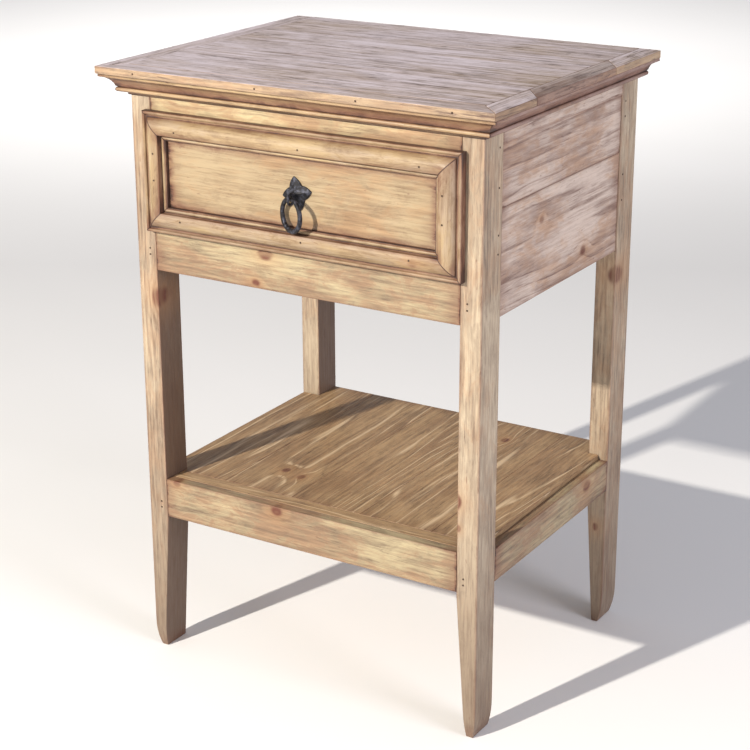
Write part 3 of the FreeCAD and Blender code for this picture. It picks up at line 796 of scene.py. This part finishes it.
def keep_grain(mesh, order, signs, offset, mitres):
    """Store each point's place in the board's own axes, and its distances from the faces on both sides.

    A mitred end's distance is measured from its slanted face. The board's middle is returned.
    """
    points = np.empty(len(mesh.vertices) * 3)
    mesh.vertices.foreach_get("co", points)
    points = points.reshape(-1, 3)[:, order] * np.array(signs)
    low, high = points.min(0), points.max(0)
    near, far = points - low, high - points
    if "low" in mitres:
        near[:, 0] -= far[:, 1]
    if "high" in mitres:
        far[:, 0] -= far[:, 1]
    middle = (low + high) / 2
    places = {"grain": points - middle + np.array(offset), "near": near, "far": far}
    for name, values in places.items():
        attribute = mesh.attributes.new(name, "FLOAT_VECTOR", "POINT")
        attribute.data.foreach_set("vector", values.astype(np.float32).ravel())
    return middle


def knots_in_grain(node, order, signs, middle, offset):
    """A board's knots in the board's own axes, each with its radius."""
    knots = []
    for position, radius in KNOTS.get(node, ()):
        place = []
        for axis, sign, centre, move in zip(order, signs, middle, offset):
            place.append(position[axis] * sign - centre + move)
        knots.append((*place, radius * MM))
    return knots


def wood_for(node, finish_name, knots):
    """The material of a board: its own if it has knots, or else one that it shares."""
    finish = FINISHES[finish_name]
    if knots:
        return wood(f"{finish.slot}_{node}", finish, knots)
    if finish_name not in shared_woods:
        shared_woods[finish_name] = wood(f"{finish.slot}_{finish_name}", finish)
    return shared_woods[finish_name]


def add_piece(name, mesh, material, node):
    """Put a mesh in the scene as a piece that rides on a CAD node's body in the node's place."""
    piece = bpy.data.objects.new(name, mesh)
    bpy.context.scene.collection.objects.link(piece)
    mesh.materials.clear()
    mesh.materials.append(material)
    for polygon in mesh.polygons:
        polygon.use_smooth = True
    modifier = piece.modifiers.new("soft_shading", "WEIGHTED_NORMAL")
    modifier.weight = SHADING_WEIGHT
    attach(piece, frame["nodes"][node]["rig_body"])
    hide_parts(node)


def mesh_from(bm, name):
    """Turn a bmesh into a mesh, and free it."""
    mesh = bpy.data.meshes.new(name)
    bm.to_mesh(mesh)
    bm.free()
    return mesh


def wooden(node, letters, finish_name, radius, signs=(1, 1, 1), mitres=(), amount=WEAR, shape=None):
    """Replace a CAD node with a worn wooden piece.

    letters name the axes along, across and through the board, or only the one along it, and signs say which
    way each counts. radius is for the eased edges. shape is a function that changes the sliced mesh.
    """
    order = board_axes(node, letters)
    bm = flat_faced_copy(node)
    ease_edges(bm, radius)
    for axis, pitch in zip(order, PITCH):
        slice_along(bm, axis, pitch)
    if shape:
        shape(bm)
    wear(bm, amount, chance.uniform(*WEAR_SEEDS))
    mesh = mesh_from(bm, f"wood_{node}")
    offset = [chance.uniform(*limits) for limits in CUTS]
    middle = keep_grain(mesh, order, signs, offset, mitres)
    material = wood_for(node, finish_name, knots_in_grain(node, order, signs, middle, offset))
    add_piece(f"wood_{node}", mesh, material, node)


# ---------------------------------------------------------------- wooden pieces


def build_legs():
    """The four legs."""
    for row in ("front", "rear"):
        for side in ("left", "right"):
            wooden(f"leg_{row}_{side}", "zxy", f"leg_{side}", EDGES["leg"], shape=round_foot)


def build_top():
    """The planks of the top, the strips that frame it and the crown under them."""
    for number in range(1, 5):
        wooden(f"top_plank_{number}", "x", "top", EDGES["plank"], amount=PLANK_WEAR)
    strips = {
        "top_edge_front": ("xyz", -1, "top", ("low", "high")),
        "top_edge_left": ("yxz", -1, "top", ("low",)),
        "top_edge_right_front": ("yxz", 1, "top", ("low",)),
        "top_edge_right_middle": ("yxz", 1, "top_brown", ()),
        "top_edge_right_rear": ("yxz", 1, "top", ()),
    }
    for node, (letters, outward, finish, mitres) in strips.items():
        wooden(node, letters, finish, EDGES["strip"], (1, outward, 1), mitres)
    runs = {
        "crown_front": ("xyz", -1, "crown", ("low", "high")),
        "crown_left": ("yxz", -1, "crown_side_painted_shade", ("low",)),
        "crown_right": ("yxz", 1, "crown_side_painted_shade", ("low",)),
    }
    for node, (letters, outward, finish, mitres) in runs.items():
        wooden(node, letters, finish, EDGES["moulding"], (1, outward, 1), mitres, FINE_WEAR)


def build_case():
    """The rails, side boards and back of the case, and the strips inside it."""
    wooden("frieze_rail", "x", "frieze", EDGES["frieze"])
    wooden("drawer_rail", "x", "rail", EDGES["rail"])
    wooden("back_board", "x", "raw", EDGES["rail"])
    for side in ("left", "right"):
        for layer in ("side_board_lower", "side_board_upper", "side_strip"):
            wooden(f"{layer}_{side}", "y", "side", EDGES["side"])
        for strip in ("drawer_runner", "drawer_guide", "drawer_kicker"):
            wooden(f"{strip}_{side}", "y", "raw", EDGES["runner"])


def build_drawer():
    """The drawer's panel, its four mitred mouldings and its box."""
    frames = {"top": ("xzy", 1), "bottom": ("xzy", -1), "left": ("zxy", -1), "right": ("zxy", 1)}
    for side, (letters, outward) in frames.items():
        node = f"drawer_moulding_{side}"
        signs = (1, outward, -1)
        wooden(node, letters, "moulding", EDGES["moulding"], signs, ("low", "high"), FINE_WEAR)
    wooden("drawer_panel", "x", "panel", EDGES["panel"])
    for node in ("drawer_box_front", "drawer_back", "drawer_bottom"):
        wooden(node, "x", "raw", EDGES["drawer_box"])
    for side in ("left", "right"):
        wooden(f"drawer_side_{side}", "y", "raw", EDGES["drawer_box"])


def build_shelf():
    """The rails, battens and boards of the shelf."""
    for side in ("left", "right"):
        wooden(f"shelf_rail_{side}", "y", "rail", EDGES["shelf_rail"])
    for side in ("front", "rear"):
        wooden(f"shelf_rail_{side}", "x", "rail", EDGES["shelf_rail"])
    wooden("shelf_cleat_front", "x", "raw", EDGES["runner"])
    wooden("shelf_cleat_right", "y", "raw", EDGES["runner"])
    wooden("shelf_front_strip", "x", "shelf", EDGES["shelf_strip"])
    for number in range(1, 6):
        wooden(f"shelf_board_{number}", "y", "shelf", EDGES["shelf_board"])


build_legs()
build_top()
build_case()
build_drawer()
build_shelf()


# ---------------------------------------------------------------- iron


HAMMER_WAVES = (260, 260, 260)
GRIT_WAVES = (1500, 1500, 1500)
GRIT_IN_WORN = 0.35
WORN_LEVELS = (0.62, 0.86)
WORN_AMOUNT = 0.55
IRON_ROUGHNESS = 0.42
GRIT_AMOUNT = 0.25
HAMMER_DEPTH = 0.5 * MM
METALLIC = 0.55

# The ring's bar: its half thickness, how much it varies round the ring, and its flattened, dented section.
RING_BAR = 2.9 * MM
RING_BAR_MEAN = 0.93
RING_BAR_CHANGE = 0.06
RING_SQUARENESS = 0.8
RING_FLATNESS = 0.86
RING_DENT = 0.07
RING_DENT_WAVES = 210
RING_TURN = math.radians(24)
RING_STEPS = 112
BAR_STEPS = 28

# The back plate: four leaves, by the distances of their tips and of the notches between them.
PLATE_TIP = 19.5 * MM
PLATE_NOTCH = 11.6 * MM
PLATE_TURN = math.radians(12)
PLATE_DENT = 0.12 * MM
PLATE_DENT_WAVES = 260
LEAF_BULGE = 2.6 * MM
LEAF_BULGE_WAY = (1, 2.2)
LEAF_RIDGE = 0.6 * MM
LEAF_RIDGE_WIDTH = 0.2
LEAF_STEPS = 10

# The plate's section: shares of the way out from its middle, and shares of its thickness. The rows above
# PLATE_RIM are its face, which has ridges and dents.
PLATE_RISE = (
    (1.0, 0.0),
    (1.0, 0.22),
    (0.97, 0.33),
    (0.9, 0.40),
    (0.75, 0.46),
    (0.6, 0.52),
    (0.45, 0.60),
    (0.32, 0.72),
    (0.24, 0.95),
    (0.12, 1.0),
)
PLATE_RIM = 0.3
EYE_WEAR = 0.08 * MM
EYE_SEED = 3

# A nail head's section, as shares of its radius and of its height, and how ragged its outline is.
NAIL_STEPS = 14
NAIL_SECTION = ((1.0, 0.0), (1.0, 0.5), (0.8, 0.9), (0.45, 1.0))
NAIL_RAGGED = (0.78, 1.0)


def iron(name, base, sheen):
    """Black forged iron: hammer marks, worn grey high spots and a waxed, uneven gloss."""
    n = Nodes(name)
    place = n.coordinate("Object")
    hammer = n.noise(place, HAMMER_WAVES)
    grit = n.noise(place, GRIT_WAVES, detail=3.0, rough=0.6)
    worn = n.span(n.math("MULTIPLY_ADD", grit, GRIT_IN_WORN, hammer), *WORN_LEVELS)
    colour = n.mix(n.math("MULTIPLY", worn, WORN_AMOUNT), base, sheen)
    rough = n.math("MULTIPLY_ADD", grit, GRIT_AMOUNT, IRON_ROUGHNESS)
    height = n.math("MULTIPLY_ADD", grit, GRIT_AMOUNT, hammer)
    return n.finish(colour, rough, height, HAMMER_DEPTH, Metallic=METALLIC)


def grid_mesh(name, rows, closed):
    """A mesh of loops of points, each joined to the next. A closed one joins the last to the first.

    An open one has a cap at each end.
    """
    count = len(rows[0])
    faces = []
    for number in range(len(rows) if closed else len(rows) - 1):
        start, following = number * count, (number + 1) % len(rows) * count
        for step in range(count):
            beside = (step + 1) % count
            faces.append((start + step, start + beside, following + beside, following + step))
    if not closed:
        faces.append(tuple(reversed(range(count))))
        faces.append(tuple(range((len(rows) - 1) * count, len(rows) * count)))
    bm = bmesh.new()
    verts = [bm.verts.new(point) for row in rows for point in row]
    for face in faces:
        bm.faces.new([verts[number] for number in face])
    bmesh.ops.recalc_face_normals(bm, faces=bm.faces)
    return mesh_from(bm, name)


def squared(value):
    """A sine or cosine pushed outwards, so that a round section gets flatter sides."""
    return math.copysign(abs(value) ** RING_SQUARENESS, value)


def bar_section(spine, outward, normal, thick):
    """One loop of points round the ring's bar."""
    row = []
    for part in range(BAR_STEPS):
        turn = 2 * math.pi * part / BAR_STEPS
        wide = squared(math.cos(turn)) * thick
        deep = squared(math.sin(turn)) * thick * RING_FLATNESS
        away = outward * wide + normal * deep
        dent = 1 + RING_DENT * noise.noise((spine + away) * RING_DENT_WAVES)
        row.append(spine + away * min(dent, 1.0))
    return row


def ring_mesh():
    """The ring: a forged bar, a little flat, thicker at the bottom, with hammer marks."""
    low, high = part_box("pull_ring")
    centre = (low + high) / 2
    radius = (high.z - low.z) / 2 - RING_BAR
    across = Vector((math.cos(RING_TURN), -math.sin(RING_TURN), 0))
    normal = Vector((math.sin(RING_TURN), math.cos(RING_TURN), 0))
    rows = []
    for step in range(RING_STEPS):
        angle = 2 * math.pi * step / RING_STEPS
        outward = across * math.cos(angle) + UP * math.sin(angle)
        thick = RING_BAR * (RING_BAR_MEAN - RING_BAR_CHANGE * math.sin(angle))
        rows.append(bar_section(centre + outward * radius, outward, normal, thick))
    return grid_mesh("ring", rows, closed=True)


def leaf_outline():
    """The plate's outline, four pointed leaves, as angles and distances from its middle."""
    tip = Vector((PLATE_TIP, 0))
    notch = Vector((math.cos(QUARTER / 2), math.sin(QUARTER / 2))) * PLATE_NOTCH
    bulge = (tip + notch) / 2 + Vector(LEAF_BULGE_WAY).normalized() * LEAF_BULGE
    side = []
    for step in range(LEAF_STEPS):
        share = step / LEAF_STEPS
        side.append(tip * (1 - share) ** 2 + bulge * 2 * share * (1 - share) + notch * share**2)
    half = [(math.atan2(point.y, point.x), point.length) for point in side]
    leaf = [(-angle, reach) for angle, reach in reversed(half[1:])] + half
    leaf.append((QUARTER / 2, PLATE_NOTCH))
    return [(angle + number * QUARTER + PLATE_TURN, reach) for number in range(4) for angle, reach in leaf]


def plate_mesh():
    """The back plate: leaves that rise to a middle ridge, and a round boss under the eye."""
    low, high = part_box("pull_plate")
    centre = (low + high) / 2
    thickness = high.y - low.y
    outline = leaf_outline()
    rows = []
    for share, rise in PLATE_RISE:
        row = []
        for angle, reach in outline:
            away = Vector((math.cos(angle), 0, math.sin(angle))) * reach * share
            out = rise * thickness
            if rise > PLATE_RIM:
                from_ridge = (angle - PLATE_TURN + QUARTER / 2) % QUARTER - QUARTER / 2
                crest = math.exp(-((from_ridge / LEAF_RIDGE_WIDTH) ** 2)) * math.sin(math.pi * share)
                out += LEAF_RIDGE * crest + PLATE_DENT * noise.noise((centre + away) * PLATE_DENT_WAVES)
            row.append(Vector((centre.x, high.y - min(out, thickness), centre.z)) + away)
        rows.append(row)
    return grid_mesh("plate", rows, closed=False)


def eye_mesh():
    """The split pin, with its wire worn and dented."""
    bm = flat_faced_copy("pull_eye")
    wear(bm, EYE_WEAR, EYE_SEED)
    return mesh_from(bm, "eye")


def island_boxes(node):
    """The lowest and highest corners of each separate solid in a CAD group."""
    bm = bmesh.new()
    bm.from_mesh(frame["nodes"][node].data)
    bmesh.ops.remove_doubles(bm, verts=bm.verts, dist=WELD)
    left = set(bm.verts)
    boxes = []
    while left:
        island, edge = set(), [left.pop()]
        while edge:
            vert = edge.pop()
            island.add(vert)
            for link in vert.link_edges:
                other = link.other_vert(vert)
                if other in left:
                    left.remove(other)
                    edge.append(other)
        points = np.array([vert.co for vert in island])
        boxes.append((Vector(points.min(0)), Vector(points.max(0))))
    bm.free()
    return sorted(boxes, key=lambda box: tuple(box[0]))


def add_nail_head(bm, low, high):
    """Add a low dome with a ragged outline, inside the box of a CAD nail head."""
    size = high - low
    axis = min(range(3), key=lambda number: size[number])
    outward = Vector((0, 0, 0))
    outward[axis] = math.copysign(1.0, low[axis])
    sideways = outward.cross(UP)
    root = (low + high) / 2 - outward * size[axis] / 2
    ragged = [chance.uniform(*NAIL_RAGGED) for step in range(NAIL_STEPS)]
    loops = []
    for share, rise in NAIL_SECTION:
        loop = []
        for step, reach in enumerate(ragged):
            angle = 2 * math.pi * step / NAIL_STEPS
            away = (UP * math.cos(angle) + sideways * math.sin(angle)) * size.z / 2 * reach * share
            loop.append(bm.verts.new(root + away + outward * size[axis] * rise))
        loops.append(loop)
    for inner, outer in zip(loops[1:], loops):
        for step in range(NAIL_STEPS):
            beside = (step + 1) % NAIL_STEPS
            bm.faces.new((outer[step], outer[beside], inner[beside], inner[step]))
    bm.faces.new(loops[-1])
    bm.faces.new(list(reversed(loops[0])))


def nail_mesh(node):
    """The nail heads of a CAD group."""
    bm = bmesh.new()
    for low, high in island_boxes(node):
        add_nail_head(bm, low, high)
    bmesh.ops.recalc_face_normals(bm, faces=bm.faces)
    return mesh_from(bm, node)


def build_iron():
    """The pull's plate, eye and ring, and the nail heads."""
    forged = iron("forged_iron", shade(26, 25, 29), shade(84, 86, 100))
    for node, make in (("pull_plate", plate_mesh), ("pull_eye", eye_mesh), ("pull_ring", ring_mesh)):
        add_piece(f"iron_{node}", make(), forged, node)
    rusty = iron("nail_iron", shade(62, 44, 34), shade(104, 84, 70))
    for node in ("edge_nails", "leg_nails_front", "leg_nails_side", "drawer_nails"):
        add_piece(f"iron_{node}", nail_mesh(node), rusty, node)


build_iron()


# ---------------------------------------------------------------- room


# Half the floor's side, in metres, and its paint.
FLOOR_HALF = 30
FLOOR_WAVES = (1.5, 1.5, 1.5)
FLOOR_ROUGHNESS = 0.7
FLOOR_DEPTH = 0.1 * MM

# Each light's place, the point that it faces, its size in metres, its power in watts and its colour: a key
# from the front left, a fill from the right, and one that lights only the floor behind.
LIGHTS = {
    "key": ((-1.3, -4.3, 2.6), (0, 0, 0.45), 0.1, 395, shade(255, 249, 238)),
    "fill": ((4.0, -0.8, 1.35), (0, 0, 0.5), 1.6, 112, shade(242, 242, 255)),
    "backdrop": ((-1.8, 2.6, 2.6), (-4.0, 6.5, 0), 1.2, 110, shade(255, 253, 250)),
}
SURROUND_COLOUR = shade(246, 247, 255)
SURROUND_STRENGTH = 0.38

# The camera's place and target in metres, and its lens and sensor in millimetres.
CAMERA_PLACE = Vector((1.1027, -1.8277, 1.1217))
CAMERA_TARGET = Vector((0.0162, -0.0463, 0.3670))
CAMERA_ROLL = math.radians(-0.17)
CAMERA_LENS = 89.4
CAMERA_SENSOR = 36


def floor():
    """A wide, plain, pale floor."""
    n = Nodes("floor_paint")
    tone = n.noise(n.coordinate("Object"), FLOOR_WAVES)
    colour = n.mix(tone, shade(236, 235, 233), shade(242, 241, 240))
    material = n.finish(colour, FLOOR_ROUGHNESS, tone, FLOOR_DEPTH)
    corners = [(FLOOR_HALF * x, FLOOR_HALF * y, 0) for x, y in ((-1, -1), (1, -1), (1, 1), (-1, 1))]
    mesh = bpy.data.meshes.new("floor")
    mesh.from_pydata(corners, [], [(0, 1, 2, 3)])
    mesh.materials.append(material)
    piece = bpy.data.objects.new("floor", mesh)
    bpy.context.scene.collection.objects.link(piece)


def softbox(name, place, target, size, power, colour):
    """A square studio light that faces a point."""
    lamp = bpy.data.lights.new(name, "AREA")
    lamp.shape = "SQUARE"
    lamp.size = size
    lamp.energy = power
    lamp.color = colour[:3]
    lamp_object = bpy.data.objects.new(name, lamp)
    lamp_object.location = place
    lamp_object.rotation_euler = (Vector(target) - Vector(place)).to_track_quat("-Z", "Y").to_euler()
    bpy.context.scene.collection.objects.link(lamp_object)


def lights():
    """The studio lights and a pale surround."""
    for name, settings in LIGHTS.items():
        softbox(name, *settings)
    world = bpy.data.worlds.new("surround")
    world.use_nodes = True
    background = world.node_tree.nodes["Background"]
    background.inputs["Color"].default_value = SURROUND_COLOUR
    background.inputs["Strength"].default_value = SURROUND_STRENGTH
    bpy.context.scene.world = world


def camera():
    """The camera, a little above the table and to the right of its front."""
    data = bpy.data.cameras.new("camera")
    data.lens = CAMERA_LENS
    data.sensor_width = CAMERA_SENSOR
    item = bpy.data.objects.new("camera", data)
    item.location = CAMERA_PLACE
    aim = (CAMERA_TARGET - CAMERA_PLACE).to_track_quat("-Z", "Y")
    item.rotation_mode = "QUATERNION"
    item.rotation_quaternion = aim @ Euler((0, 0, CAMERA_ROLL)).to_quaternion()
    bpy.context.scene.collection.objects.link(item)
    bpy.context.scene.camera = item


floor()
lights()
camera()
bpy.context.scene.view_settings.view_transform = "Standard"
